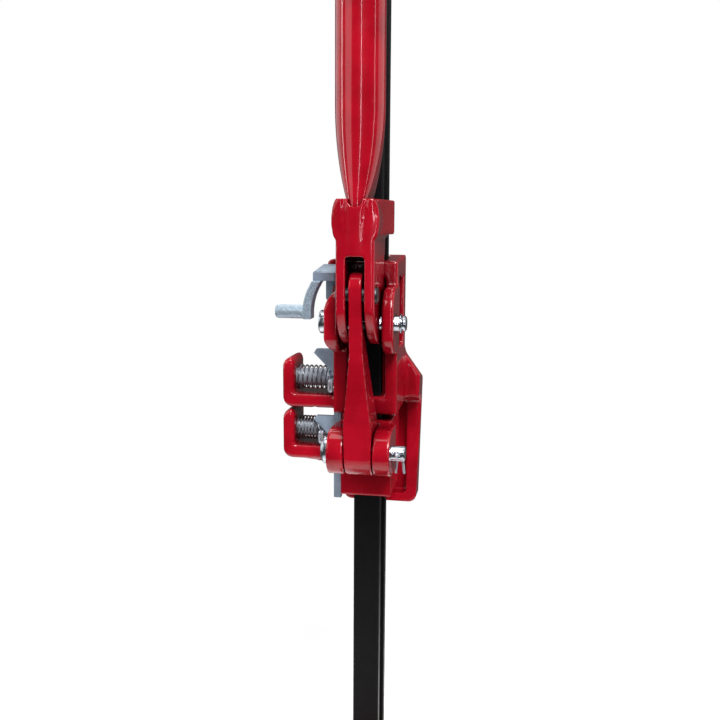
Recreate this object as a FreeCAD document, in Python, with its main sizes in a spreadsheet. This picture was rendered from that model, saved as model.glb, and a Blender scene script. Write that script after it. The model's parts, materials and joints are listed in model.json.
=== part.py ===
import FreeCAD, Part
import os
import re
import Sketcher

# High-lift jack: a punched steel bar on a foot, and a carriage of two runners that climbs it hole by hole.
# +Z is up, the handle stands on the -Y side and the lifting nose on the +Y side. Millimetres.
# The carriage pieces are drawn from the handle's pivot axis, which lies at height PIVOT.

doc = FreeCAD.newDocument("high_lift_jack")
sheet = doc.addObject("Spreadsheet::Sheet", "Sizes")

DRIVING = [
    # rack bar
    ("bar_width", "19"), ("bar_depth", "32"), ("flange", "6.5"), ("web", "6"),
    ("bar_length", "1220"), ("bar_seat", "6"),
    ("hole_pitch", "38"), ("hole_radius", "8.5"), ("hole_first", "18"), ("hole_margin", "20"),
    # fits, and how far a cut runs past the face it opens
    ("slide_gap", "0.6"), ("run_gap", "0.05"), ("side_gap", "0.4"), ("seat_gap", "0.2"), ("past", "1"),
    # foot
    ("foot_length", "180"), ("foot_width", "118"), ("foot_plate", "8"), ("foot_corner", "14"),
    ("foot_rise", "30"), ("foot_slope", "0.5"), ("foot_rib", "9"), ("hub_height", "42"), ("hub_wall", "9"),
    ("foot_pin", "5"), ("foot_pin_head", "8.5"), ("foot_pin_tail", "9"), ("foot_cotter_leg", "8.6"),
    # split pins
    ("cotter_radius", "1.8"), ("cotter_eye", "3.4"), ("cotter_leg", "17"), ("cotter_splay", "2.4"),
    # clamp at the bar's top
    ("clamp_cheek", "6"), ("clamp_height", "46"), ("clamp_reach", "66"), ("clamp_front", "24"),
    ("clamp_heel", "24"), ("clamp_jaw", "18"), ("clamp_chamfer", "9"),
    ("clamp_bolt", "6"), ("clamp_head", "10"), ("clamp_head_thick", "6"), ("clamp_nut_thick", "9"),
    # large runner
    ("carriage_hole", "9"), ("pin_drop", "45"),
    ("collar_half", "21.5"), ("shoe_half", "19.6"), ("collar_front", "23"), ("collar_rear", "22.5"),
    ("collar_top", "44"), ("collar_fall", "3.4"), ("collar_band", "14"), ("core_bottom", "66.6"),
    ("sill", "13"), ("rail_out", "23.6"),
    ("window_half", "13"), ("side_front", "13"), ("side_rear", "11"), ("side_low", "20"),
    ("keeper_out", "35"), ("keeper_front", "9.5"), ("keeper_low", "24"), ("keeper_round", "4"),
    ("ear_inner", "14.4"), ("ear_outer", "22.4"), ("ear_left", "24.5"), ("ear_front", "50"),
    ("ear_top", "24"), ("ear_low", "21"),
    ("ear_root", "6"), ("ear_arc", "17"), ("ear_fall", "14"), ("ear_chin", "11"),
    ("ear_round", "9"), ("chin_arc", "10.8"), ("ear_crown", "17"), ("crown_arc", "18.7"),
    # hooks that carry the climbing pins
    ("hook_tip", "63"), ("hook_finger", "9"), ("hook_front", "15"), ("hook_rear", "16"),
    ("hook_floor", "10.4"), ("hook_rise", "16"), ("hook_thick", "10.1"), ("hook_sag", "4"),
    ("hook_corner", "7"), ("hook_crown", "7"), ("hook_fillet", "2.4"), ("hook_round", "3"),
    # nose
    ("nose_half", "33"), ("nose_half_low", "28.6"), ("nose_face", "44"), ("nose_bottom", "151"),
    ("nose_ledge", "45"), ("nose_neck", "29"), ("nose_rise", "8"), ("nose_brow", "6"), ("gusset", "9"),
    ("nose_tip", "122"), ("toe_half", "15"), ("toe_top", "127"), ("toe_fillet", "12"), ("toe_chamfer", "3"),
    ("nose_wall", "8"), ("nose_lintel", "17"), ("nose_floor", "7"),
    ("nose_cove", "7"), ("nose_crest", "9"), ("nose_arch", "38"),
    # pivot pin and its ring
    ("pivot_forward", "37"), ("pivot_radius", "5.3"), ("pivot_head", "8"), ("pivot_head_thick", "4.5"),
    ("pin_chamfer", "0.8"), ("ring_at", "3"), ("ring_groove", "0.9"), ("ring_thick", "1.2"),
    ("ring_rim", "1.4"),
    ("pivot_tail", "4.4"),
    # climbing pins
    ("pin_radius", "6.3"), ("pin_reach", "3.5"), ("pin_tail", "57"), ("pin_lift", "7"), ("pin_bevel", "2"),
    ("cotter_at", "27.4"), ("cotter_hook", "8.6"), ("washer_radius", "9.4"), ("washer_thick", "1.5"),
    ("spring_radius", "8"), ("spring_wire", "1"), ("spring_turns", "6.5"),
    # reversing bar and its lever
    ("latch_thick", "5.2"), ("latch_front", "12.5"), ("latch_depth", "5"), ("latch_top", "34"),
    ("latch_foot", "132"), ("latch_lip", "7"),
    ("lip_reach", "37"), ("lip_front", "27"), ("lip_rear", "8"), ("lip_fall", "1.3"), ("lip_lift", "3"),
    ("brace_in", "6"), ("brace_drop", "20"), ("brace_low", "32"),
    ("tab_reach", "40"), ("tab_upper", "25.4"), ("tab_head", "3"), ("tab_bevel", "2"), ("tab_thick", "4"),
    ("lever_at", "25"), ("lever_depth", "11"), ("lever_width", "6.5"), ("lever_lean", "7"),
    ("lever_arc", "40"),
    ("grip_end", "64"), ("grip_radius", "4.8"), ("grip_height", "5.2"), ("grip_round", "1.9"),
    ("rivet_radius", "2"), ("rivet_depth", "4"),
    # handle, its socket and the pitman
    ("fork_inner", "6.2"), ("fork_outer", "12.6"), ("fork_back", "24.2"),
    ("fork_arc", "34"), ("hub_round", "14.2"),
    ("socket_low", "45"), ("socket_top", "81.5"), ("socket_half", "14"), ("socket_chin", "56"),
    ("socket_bevel", "3"), ("socket_arc", "38"), ("socket_front", "69"), ("socket_back", "22"),
    ("socket_prow", "2"), ("notch_half", "4.6"), ("notch_depth", "0.4"),
    ("lug_half", "19.5"), ("lug_front", "62"), ("lug_low", "59"), ("lug_round", "2.5"),
    ("grip_flat", "14"), ("grip_flat_depth", "35"), ("handle_forward", "50"), ("handle_tube_radius", "16.2"),
    ("tube_oval", "0.4"), ("handle_wall", "3"), ("handle_seat", "24"), ("handle_flare", "60"),
    ("handle_length", "740"), ("plug_depth", "16"), ("plug_lead", "2"), ("plug_cap", "5"),
    ("screw_radius", "4"), ("screw_head", "7"), ("screw_head_thick", "3.4"), ("screw_reach", "13"),
    ("crank_forward", "21.1"), ("crank_rise", "20.5"), ("crank_pin", "5.5"), ("crank_tail", "1.2"),
    ("link_half_top", "4.4"), ("link_half_mid", "6.6"), ("link_mid_drop", "42"), ("link_half_low", "9.4"),
    ("link_eye", "10"), ("link_top", "14.5"), ("link_boss", "16"), ("link_ease", "3"), ("link_swell", "5"),
    ("link_slack", "4.25"), ("link_lift", "1.1"),
    # small runner
    ("step_half", "18"), ("step_top", "70.5"), ("step_bottom", "126"), ("step_forward", "41"),
    ("step_drop", "88.5"), ("step_ear_outer", "21.6"),
    ("step_pin", "5.3"), ("step_pin_head", "9.5"), ("step_pin_head_thick", "5"), ("step_pin_tail", "9"),
]

for row, (alias, number) in enumerate(DRIVING, start=1):
    sheet.set("A%d" % row, alias)
    sheet.set("B%d" % row, number)
    sheet.setAlias("B%d" % row, alias)
doc.recompute()

HOLE_STEPS = "(floor((bar_length + bar_seat - hole_first - hole_margin) / hole_pitch))"
PIVOT = "(hole_first + carriage_hole * hole_pitch + pin_drop)"
CHANNEL_X = "(bar_width / 2 + slide_gap)"
CHANNEL_Y = "(bar_depth / 2 + slide_gap)"
LOWER_PIN = "(pin_drop + hole_pitch)"
LATCH_IN = "(shoe_half + side_gap)"
LATCH_OUT = "(shoe_half + side_gap + latch_thick)"
pieces = []


def bound(text):
    """The expression with every size written as a cell of the sheet."""
    return re.sub(r"[a-z]\w*(?!\w*\()", lambda found: "Sizes." + found.group(0), text)


def size(text):
    """The expression's number at the present sizes."""
    return float(sheet.evalExpression(bound(text)))


def opposite(text):
    return "-(%s)" % text


def piece(name, height="0"):
    """A body with its own label, drawn from a point at that height on the bar's axis."""
    body = doc.addObject("PartDesign::Body", name)
    body.Label = name
    body.setExpression("Placement.Base.z", bound(height))
    pieces.append(body)
    return body


def new_sketch(body, plane, offset):
    sketch = body.newObject("Sketcher::SketchObject", body.Name + "_sketch")
    role = plane + "_Plane"
    sketch.AttachmentSupport = (next(f for f in body.Origin.OriginFeatures if f.Role == role), "")
    sketch.MapMode = "FlatFace"
    sketch.setExpression("AttachmentOffset.Base.z", bound(offset))
    return sketch


def fix(sketch, kind, geometry, point, text):
    made = Sketcher.Constraint(kind, -1, 1, geometry, point, size(text))
    number = sketch.addConstraint(made)
    sketch.setExpression("Constraints[%d]" % number, bound(text))


def outline(body, plane, offset, points, arcs=None):
    """A closed outline. arcs gives the radius of a side that is an arc, or half for a half circle.

    The arc bulges to the right of the way along the outline, and to the left with a minus sign.
    """
    arcs = arcs or {}
    sketch = new_sketch(body, plane, offset)
    at = [FreeCAD.Vector(size(u), size(v), 0) for u, v in points]
    count = len(at)
    ends = []
    for i in range(count):
        a, b = at[i], at[(i + 1) % count]
        if i not in arcs:
            sketch.addGeometry(Part.LineSegment(a, b), False)
            ends.append((1, 2))
            continue
        inward = arcs[i].startswith("-")
        chord = b - a
        half = chord.Length / 2
        radius = half if arcs[i].endswith("half") else size(arcs[i].lstrip("-"))
        side = FreeCAD.Vector(chord.y, -chord.x, 0).normalize()
        sag = radius - max(radius * radius - half * half, 0) ** 0.5
        middle = (a + b) / 2 + side * (-sag if inward else sag)
        centre = Part.Arc(a, middle, b).toShape().Curve.Center
        forward = (a - centre).cross(middle - centre).z > 0
        first, last = (a, b) if forward else (b, a)
        circle = Part.Circle(centre, FreeCAD.Vector(0, 0, 1), radius)
        arc = Part.ArcOfCircle(circle, circle.parameter(first), circle.parameter(last))
        sketch.addGeometry(arc, False)
        ends.append((1, 2) if forward else (2, 1))
    for i in range(count):
        after = (i + 1) % count
        sketch.addConstraint(Sketcher.Constraint("Coincident", i, ends[i][1], after, ends[after][0]))
    for i, (u, v) in enumerate(points):
        fix(sketch, "DistanceX", i, ends[i][0], u)
        fix(sketch, "DistanceY", i, ends[i][0], v)
    for i, radius in arcs.items():
        if radius.endswith("half"):
            sketch.addConstraint(Sketcher.Constraint("Symmetric", i, 1, i, 2, i, 3))
            continue
        number = sketch.addConstraint(Sketcher.Constraint("Radius", i, size(radius.lstrip("-"))))
        sketch.setExpression("Constraints[%d]" % number, bound(radius.lstrip("-")))
    return sketch


def disc(body, plane, offset, centre, radius):
    sketch = new_sketch(body, plane, offset)
    u, v = centre
    circle = Part.Circle(FreeCAD.Vector(size(u), size(v), 0), FreeCAD.Vector(0, 0, 1), size(radius))
    sketch.addGeometry(circle, False)
    number = sketch.addConstraint(Sketcher.Constraint("Radius", 0, size(radius)))
    sketch.setExpression("Constraints[%d]" % number, bound(radius))
    fix(sketch, "DistanceX", 0, 3, u)
    fix(sketch, "DistanceY", 0, 3, v)
    return sketch


def rectangle(low_u, low_v, high_u, high_v):
    return [(low_u, low_v), (high_u, low_v), (high_u, high_v), (low_u, high_v)]


def add(body, plane, shape, low, high, arcs=None):
    """Pads an outline, or a disc given as centre and radius, from low to high along the plane's normal."""
    offset = opposite(high) if plane == "XZ" else low
    sketch = draw(body, plane, offset, shape, arcs)
    pad = body.newObject("PartDesign::Pad", body.Name + "_pad")
    pad.Profile = sketch
    pad.setExpression("Length", bound("(%s) - (%s)" % (high, low)))
    doc.recompute()
    return pad


def cut(body, plane, shape, low, high, arcs=None):
    """Cuts an outline or a disc out of the body from low to high along the plane's normal axis."""
    before = body.Tip.Shape.Volume
    offset = opposite(low) if plane == "XZ" else high
    sketch = draw(body, plane, offset, shape, arcs)
    pocket = body.newObject("PartDesign::Pocket", body.Name + "_pocket")
    pocket.Profile = sketch
    pocket.setExpression("Length", bound("(%s) - (%s)" % (high, low)))
    doc.recompute()
    if not pocket.Shape.Volume < before:
        raise RuntimeError(body.Label + ": a cut removes nothing")
    return pocket


def draw(body, plane, offset, shape, arcs):
    if isinstance(shape, tuple):
        return disc(body, plane, offset, *shape)
    return outline(body, plane, offset, shape, arcs)


def revolve(body, plane, axis, points):
    """Turns a half outline about the sketch's own axis, H_Axis or V_Axis."""
    turned = body.newObject("PartDesign::Revolution", body.Name + "_turned")
    turned.Profile = outline(body, plane, "0", points)
    turned.ReferenceAxis = (turned.Profile[0], [axis])
    turned.Angle = 360
    doc.recompute()
    return turned


def round_edges(body, radius, wanted):
    """Fillets the edges of the present shape that the test picks."""
    shape = body.Tip.Shape
    names = ["Edge%d" % (i + 1) for i, edge in enumerate(shape.Edges) if wanted(edge.BoundBox)]
    if not names:
        raise RuntimeError(body.Label + ": no edge to round")
    fillet = body.newObject("PartDesign::Fillet", body.Name + "_fillet")
    fillet.Base = (body.Tip if body.Tip != fillet else fillet.BaseFeature, names)
    fillet.setExpression("Radius", bound(radius))
    doc.recompute()
    return fillet


def same(a, b):
    return abs(a - b) < 0.01


def make_rack_bar():
    bar = piece("rack_bar")
    half, web = "bar_width / 2", "web / 2"
    outer, inner = "bar_depth / 2", "bar_depth / 2 - flange"
    right = [(half, opposite(outer)), (half, opposite(inner)), (web, opposite(inner))]
    right += [(u, v[2:-1]) for u, v in reversed(right)]
    left = [(opposite(u), v) for u, v in reversed(right)]
    add(bar, "XY", right + left, "bar_seat", "bar_seat + bar_length")
    hole = cut(bar, "YZ", (("0", "hole_first"), "hole_radius"), "-bar_width", "bar_width")
    row = bar.newObject("PartDesign::LinearPattern", "rack_bar_holes")
    row.Originals = [hole]
    row.Direction = (hole.Profile[0], ["V_Axis"])
    row.setExpression("Length", bound("hole_pitch * " + HOLE_STEPS))
    row.setExpression("Occurrences", bound(HOLE_STEPS + " + 1"))
    bar.Tip = row
    doc.recompute()


def make_foot():
    foot = piece("base_plate")
    half_x, half_y = "foot_width / 2", "foot_length / 2"
    add(foot, "XY", rectangle(opposite(half_x), opposite(half_y), half_x, half_y), "0", "foot_plate")
    corner = size("foot_plate")
    round_edges(foot, "foot_corner", lambda box: same(box.ZLength, corner))
    hub_x, hub_y = "(bar_width / 2 + hub_wall)", "(bar_depth / 2 + hub_wall)"
    wide_x, wide_y = [side + " + (foot_rise - foot_plate) * foot_slope" for side in (hub_x, hub_y)]
    slope = foot.newObject("PartDesign::AdditiveLoft", "base_plate_slope")
    skirt = rectangle(opposite(wide_x), opposite(wide_y), wide_x, wide_y)
    slope.Profile = outline(foot, "XY", "foot_plate", skirt)
    hub = rectangle(opposite(hub_x), opposite(hub_y), hub_x, hub_y)
    slope.Sections = [outline(foot, "XY", "foot_rise", hub)]
    slope.Ruled = True
    doc.recompute()
    add(foot, "XY", hub, "foot_rise", "hub_height")
    # a rib runs down from the hub towards each end of the plate
    for mark in ("", "-"):
        end = mark + "(%s - foot_corner)" % half_y
        near = mark + hub_y
        rib = [(near, "bar_seat"), (end, "bar_seat"), (end, "foot_plate"), (near, "foot_rise")]
        add(foot, "YZ", rib, "-foot_rib / 2", "foot_rib / 2")
    well_x, well_y = "(bar_width / 2 + seat_gap)", "(bar_depth / 2 + seat_gap)"
    well = rectangle(opposite(well_x), opposite(well_y), well_x, well_y)
    cut(foot, "XY", well, "bar_seat", "hub_height + past")
    cut(foot, "YZ", (("0", "hole_first"), "foot_pin + run_gap"), opposite(half_x), half_x)

    pin = piece("base_pin", "hole_first")
    reach = "(%s + foot_pin_tail)" % wide_x
    neck = opposite(reach + " - foot_pin")
    revolve(pin, "XZ", "H_Axis", [
        (opposite(reach), "0"), (opposite(reach), "foot_pin_head"), (neck, "foot_pin_head"),
        (neck, "foot_pin"), (reach, "foot_pin"), (reach, "0")])
    hole_x = reach + " - foot_pin_tail / 2"
    cut(pin, "XZ", ((hole_x, "0"), "cotter_radius + seat_gap"), "-foot_pin * 2", "foot_pin * 2")
    make_cotter("base_pin_cotter", "hole_first", hole_x, "0", "foot_pin", "foot_cotter_leg")


def make_cotter(name, height, at_x, at_y, pin, leg):
    """A split pin through the end of a cross pin: an eye in front and two legs bent down behind."""
    cotter = piece(name, height)
    cotter.setExpression("Placement.Base.x", bound(at_x))
    cotter.setExpression("Placement.Base.y", bound(at_y))
    near, far = pin + " + seat_gap", pin + " + seat_gap + cotter_radius * 2"
    add(cotter, "XZ", (("0", "0"), "cotter_radius"), opposite(near + " + cotter_eye / 2"), far)
    eye = opposite(near + " + cotter_eye")
    add(cotter, "YZ", ((eye, "0"), "cotter_eye"), "-cotter_radius / 2", "cotter_radius / 2")
    cut(cotter, "YZ", ((eye, "0"), "cotter_eye / 2"), "-cotter_radius", "cotter_radius")
    low, short = "-" + leg, "-%s + cotter_radius * 2" % leg
    legs = [("-cotter_radius", "cotter_radius"), ("cotter_radius", "cotter_radius"),
            ("cotter_splay + cotter_radius", low), ("cotter_splay", low),
            ("0", "-cotter_radius * 2"), ("-cotter_splay", short), ("-cotter_splay - cotter_radius", short)]
    add(cotter, "XZ", legs, near, far)


def make_top_clamp():
    hole_z = "(hole_first + hole_pitch * %s)" % HOLE_STEPS
    clamp = piece("top_clamp", hole_z)
    outer = "(bar_width / 2 + seat_gap + clamp_cheek)"
    low, high = "-clamp_height / 2", "clamp_height / 2"
    under = low + " + clamp_jaw"
    side = [("-clamp_front", low), ("clamp_heel", low), ("clamp_heel + clamp_chamfer", under),
            ("clamp_reach - clamp_chamfer", under + " - clamp_chamfer / 2"), ("clamp_reach", under),
            ("clamp_reach", high + " - clamp_jaw"),
            ("clamp_reach - clamp_chamfer", high + " - clamp_chamfer / 2"),
            ("clamp_jaw", high), ("-clamp_front + clamp_chamfer", high),
            ("-clamp_front", high + " - clamp_chamfer")]
    add(clamp, "YZ", side, opposite(outer), outer)
    slot_x, slot_y = "(bar_width / 2 + seat_gap)", "(bar_depth / 2 + seat_gap)"
    slot = rectangle(opposite(slot_x), "-clamp_front - past", slot_x, slot_y)
    cut(clamp, "XY", slot, low + " - past", high + " + past")
    cut(clamp, "YZ", (("0", "0"), "clamp_bolt + run_gap"), opposite(outer + " + past"), outer + " + past")

    bolt = piece("top_clamp_bolt", hole_z)
    add(bolt, "YZ", hexagon("clamp_head"), opposite(outer + " + clamp_head_thick"), opposite(outer))
    add(bolt, "YZ", (("0", "0"), "clamp_bolt"), opposite(outer),
        outer + " + clamp_nut_thick + clamp_bolt / 2")
    nut = piece("top_clamp_nut", hole_z)
    add(nut, "YZ", hexagon("clamp_head"), outer, outer + " + clamp_nut_thick")
    cut(nut, "YZ", (("0", "0"), "clamp_bolt + run_gap"), outer + " - past",
        outer + " + clamp_nut_thick + past")


def hexagon(corner, centre=("0", "0")):
    high, low = "sqrt(3) / 2", "-sqrt(3) / 2"
    turns = [("1", "0"), ("1 / 2", high), ("-1 / 2", high), ("-1", "0"), ("-1 / 2", low), ("1 / 2", low)]
    across, up = centre
    return [("%s + %s * (%s)" % (across, corner, u), "%s + %s * (%s)" % (up, corner, v)) for u, v in turns]


def both_sides(action, body, shape, inner, outer, arcs=None):
    action(body, "YZ", shape, inner, outer, arcs)
    action(body, "YZ", shape, opposite(outer), opposite(inner), arcs)


def add_hook(body, root, pin_z, sag):
    """The open hook on the -X side: an arm under the climbing pin and a finger that holds the pin's tail."""
    floor = opposite("%s + hook_floor" % pin_z)
    under = opposite("%s + hook_floor + hook_thick" % pin_z)
    top = opposite("%s - hook_rise" % pin_z)
    inner = "-hook_tip + hook_finger"
    shape = [(root, under), ("-hook_tip + hook_corner", under), ("-hook_tip", under + " + hook_corner"),
             ("-hook_tip", top + " - hook_crown"), ("-hook_tip + hook_crown", top),
             (inner, top + " - hook_crown / 2"), (inner, floor + " + hook_fillet"),
             (inner + " + hook_fillet", floor), (root, floor)]
    arcs = {1: "-hook_corner", 3: "-hook_crown", 6: "hook_fillet"}
    add(body, "XZ", shape, "-hook_front", "hook_rear", arcs)
    front, rear = size("-hook_front"), size("hook_rear")
    finger = size(inner + " + hook_fillet + run_gap")
    round_edges(body, "hook_round", lambda box: box.XMax < finger and same(box.YLength, 0)
                and (same(box.YMin, front) or same(box.YMin, rear)))
    if sag != "0":
        rib = [(root, "%s - %s" % (under, sag)), (root, under + " + past"),
               ("-hook_tip + hook_corner", under + " + past")]
        add(body, "XZ", rib, "-hook_front + hook_round", "hook_rear - hook_round")
    hole = (("0", opposite(pin_z)), "pin_radius + run_gap")
    cut(body, "YZ", hole, "-hook_tip - past", opposite(CHANNEL_X) + " + past")
    slot = rectangle(opposite(LATCH_OUT + " + side_gap"), "-latch_front - side_gap",
                     opposite(LATCH_IN + " - side_gap"), "-latch_front + latch_depth + side_gap")
    cut(body, "XY", slot, "%s - %s - past" % (under, sag), floor + " + past")


def make_large_runner():
    runner = piece("large_runner", PIVOT)
    collar = rectangle("-shoe_half", "-collar_front", "collar_half", "collar_rear")
    add(runner, "XY", collar, "-core_bottom", "collar_top")
    # the nose, as wide as the front view shows it, from the back wall to the toe's tip
    front_view = [("-nose_half_low", "-nose_bottom"), ("nose_half_low", "-nose_bottom"),
                  ("nose_half", "-nose_ledge"), ("-nose_half", "-nose_ledge")]
    add(runner, "XZ", front_view, "collar_rear - past", "nose_tip")
    # tall gusset between the back wall and the nose
    gusset = [("-nose_half", "-nose_ledge - past"), ("nose_half", "-nose_ledge - past"),
              ("nose_half", "-nose_ledge"),
              ("collar_half", "-nose_neck"), ("shoe_half", "-nose_neck + nose_rise"),
              ("-shoe_half", "-nose_neck + nose_rise"), ("-collar_half", "-nose_neck"),
              ("-nose_half", "-nose_ledge")]
    add(runner, "XZ", gusset, "collar_rear - past", "collar_rear + gusset")
    # the back falls steeply from the neck to the flat toe that lifts the load
    back = [("collar_rear + gusset", "-nose_ledge + past"), ("nose_face + gusset", "-nose_ledge - nose_brow"),
            ("nose_face + gusset * 2", "-toe_top + toe_fillet"),
            ("nose_face + gusset * 2 + toe_fillet", "-toe_top"),
            ("nose_tip - toe_chamfer", "-toe_top"), ("nose_tip + past", "-toe_top - toe_chamfer - past"),
            ("nose_tip + past", "-nose_ledge + past")]
    cut(runner, "YZ", back, "-nose_half - past", "nose_half + past", {2: "toe_fillet"})
    # plan taper towards the tip
    for mark in ("", "-"):
        side = [(mark + "(nose_half + past)", "nose_face"), (mark + "nose_half", "nose_face"),
                (mark + "toe_half", "nose_tip + past"), (mark + "(nose_half + past)", "nose_tip + past")]
        cut(runner, "XY", side, "-nose_bottom - past", "-nose_ledge + past")
    # room for the small runner in front of the nose
    lintel = "(nose_ledge + nose_lintel)"
    room = [("collar_rear - past", "-nose_bottom - past"), ("nose_face", "-nose_bottom - past"),
            ("nose_face", opposite(lintel + " + nose_cove")), ("nose_face - nose_cove", opposite(lintel)),
            ("collar_rear - past", opposite(lintel))]
    cut(runner, "YZ", room, "-nose_half - past", "nose_half + past")
    # hollow of the nose, open towards the bar
    wide, crest = "(nose_half_low - nose_wall)", opposite(lintel + " + nose_crest")
    hollow = [(opposite(wide), "-nose_bottom + nose_floor"), (wide, "-nose_bottom + nose_floor"),
              (wide, crest), (opposite(wide), crest)]
    cut(runner, "XZ", hollow, "nose_face - past", "nose_face + gusset", {2: "nose_arch"})
    # the bar's channel, the open sides and the window between the rails
    channel = rectangle(opposite(CHANNEL_X), opposite(CHANNEL_Y), CHANNEL_X, CHANNEL_Y)
    cut(runner, "XY", channel, "-nose_bottom - past", "collar_top + past")
    opening = rectangle("-side_front", "-side_low", "side_rear", "collar_top - collar_band")
    cut(runner, "YZ", opening, "-collar_half - past", "collar_half + past")
    window = rectangle("-window_half", opposite("core_bottom - sill"), "window_half",
                       "collar_top - collar_band")
    cut(runner, "XZ", window, "-collar_front - past", opposite("bar_depth / 2"))
    # the collar's top falls towards the handle
    brow = "collar_top - collar_fall"
    fall = [("-collar_front - past", brow), ("-collar_front", brow), ("collar_rear", "collar_top"),
            ("collar_rear", "collar_top + past"), ("-collar_front - past", "collar_top + past")]
    cut(runner, "YZ", fall, "-shoe_half - past", "collar_half + past")
    # keeper behind the reversing bar's lip
    keeper = [("-keeper_out", "keeper_low"), ("-shoe_half + past", "keeper_low"), ("-shoe_half + past", brow),
              ("-keeper_out + keeper_round", brow), ("-keeper_out", brow + " - keeper_round")]
    add(runner, "XZ", keeper, "keeper_front", "collar_rear", {3: "keeper_round"})
    # the left rail stands out in front of the reversing bar
    rail = rectangle("-rail_out", "-collar_front", "-shoe_half + past", "-latch_front - side_gap * 2")
    add(runner, "XY", rail, "-core_bottom", "-ear_low + ear_round")
    # ears that hold the pivot pin
    root = "-collar_front + ear_root"
    ear = [(root, "ear_top"), ("-pivot_forward", "ear_top"), ("-ear_front", "ear_top - ear_fall"),
           ("-ear_front", "-ear_low + ear_chin"), ("-pivot_forward", "-ear_low"), (root, "-ear_low")]
    for inner, outer in (("ear_inner", "ear_outer"), ("-ear_left", "-ear_inner")):
        add(runner, "YZ", ear, inner, outer, {1: "ear_arc", 3: "ear_arc"})
    # the left lobe is rounded off as the front view shows it
    crown = [("-ear_left - past", "ear_top + past"), ("-ear_left - past", "ear_top - ear_crown"),
             ("-ear_left", "ear_top - ear_crown"), ("-ear_inner", "ear_top"),
             ("-ear_inner", "ear_top + past")]
    cut(runner, "XZ", crown, "-ear_front - past", "-collar_front", {2: "-crown_arc"})
    chin = [("-ear_left - past", "-ear_low - past"), ("-ear_inner", "-ear_low - past"),
            ("-ear_inner", "-ear_low"),
            ("-ear_left", "-ear_low + ear_round"), ("-ear_left - past", "-ear_low + ear_round")]
    cut(runner, "XZ", chin, "-ear_front - past", "-collar_front", {2: "-chin_arc"})
    pivot = (("-pivot_forward", "0"), "pivot_radius + run_gap")
    cut(runner, "YZ", pivot, "-ear_left - past", "ear_outer + past")
    add_hook(runner, "-shoe_half", "pin_drop", "0")
    # pocket under the arm that takes the reversing bar's lower tab when the bar is lifted
    under = opposite("pin_drop + hook_floor + hook_thick")
    pocket = rectangle("-tab_reach - side_gap", "-latch_front - side_gap",
                       opposite(LATCH_IN), "-latch_front + latch_depth + side_gap")
    cut(runner, "XY", pocket, under + " - past", tab_edge() + " + tab_head + pin_lift + side_gap")


def make_small_runner():
    runner = piece("small_runner", PIVOT)
    block = rectangle("-step_half", "-collar_front", "step_half", "collar_rear")
    add(runner, "XY", block, "-step_bottom", "-step_top")
    inner = "(link_half_low + side_gap)"
    ear = [("-collar_front + past", "-step_drop - link_boss"),
           ("-collar_front + past", "-step_drop + link_boss"),
           ("-step_forward", "-step_drop + link_boss"), ("-step_forward", "-step_drop - link_boss")]
    both_sides(add, runner, ear, inner, "step_ear_outer", {2: "half"})
    channel = rectangle(opposite(CHANNEL_X), opposite(CHANNEL_Y), CHANNEL_X, CHANNEL_Y)
    cut(runner, "XY", channel, "-step_bottom - past", "-step_top + past")
    add_hook(runner, "-step_half", LOWER_PIN, "hook_sag")
    cross = (("-step_forward", "-step_drop"), "step_pin + run_gap")
    cut(runner, "YZ", cross, "-step_ear_outer - past", "step_ear_outer + past")


def make_pivot_pins():
    pin = piece("pivot_pin", PIVOT)
    pin.setExpression("Placement.Base.y", bound("-pivot_forward"))
    head = "(ear_left + side_gap)"
    near, far = "(ear_outer + ring_at)", "(ear_outer + ring_at + ring_thick)"
    core, end = "pivot_radius - ring_groove", "(ear_outer + ring_at + pivot_tail)"
    revolve(pin, "XZ", "H_Axis", [
        (opposite(head + " + pivot_head_thick"), "0"),
        (opposite(head + " + pivot_head_thick"), "pivot_head - pin_chamfer"),
        (opposite(head + " + pivot_head_thick - pin_chamfer"), "pivot_head"), (opposite(head), "pivot_head"),
        (opposite(head), "pivot_radius"), (near, "pivot_radius"), (near, core), (far, core),
        (far, "pivot_radius"),
        (end + " - pin_chamfer", "pivot_radius"), (end, "pivot_radius - pin_chamfer"), (end, "0")])
    ring = piece("pivot_pin_ring", PIVOT)
    ring.setExpression("Placement.Base.y", bound("-pivot_forward"))
    left, right, bore = near + " + seat_gap / 2", far + " - seat_gap / 2", core + " + seat_gap / 2"
    rim = "pivot_radius + ring_rim"
    revolve(ring, "XZ", "H_Axis", [(left, bore), (left, rim), (right, rim), (right, bore)])

    crank = piece("pitman_pin", PIVOT + " + crank_rise")
    crank.setExpression("Placement.Base.y", bound("-pivot_forward - crank_forward"))
    end = "(fork_outer + crank_tail)"
    revolve(crank, "XZ", "H_Axis", [
        (opposite(end), "0"), (opposite(end), "crank_pin - pin_chamfer"),
        (opposite(end + " - pin_chamfer"), "crank_pin"), (end + " - pin_chamfer", "crank_pin"),
        (end, "crank_pin - pin_chamfer"), (end, "0")])

    cross = piece("cross_pin", PIVOT + " - step_drop")
    cross.setExpression("Placement.Base.y", bound("-step_forward"))
    head, end = "(step_ear_outer + side_gap)", "(step_ear_outer + step_pin_tail)"
    cap = opposite(head + " + step_pin_head_thick")
    revolve(cross, "XZ", "H_Axis", [
        (cap, "0"), (cap, "step_pin_head - pin_bevel"), (cap + " + pin_bevel", "step_pin_head"),
        (opposite(head), "step_pin_head"), (opposite(head), "step_pin"), (end + " - pin_chamfer", "step_pin"),
        (end, "step_pin - pin_chamfer"), (end, "0")])
    hole_x = end + " - step_pin_tail / 2"
    cut(cross, "XZ", ((hole_x, "0"), "cotter_radius + seat_gap"), "-step_pin * 2", "step_pin * 2")
    make_cotter("cross_pin_cotter", PIVOT + " - step_drop", hole_x, "-step_forward", "step_pin", "cotter_leg")


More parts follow.
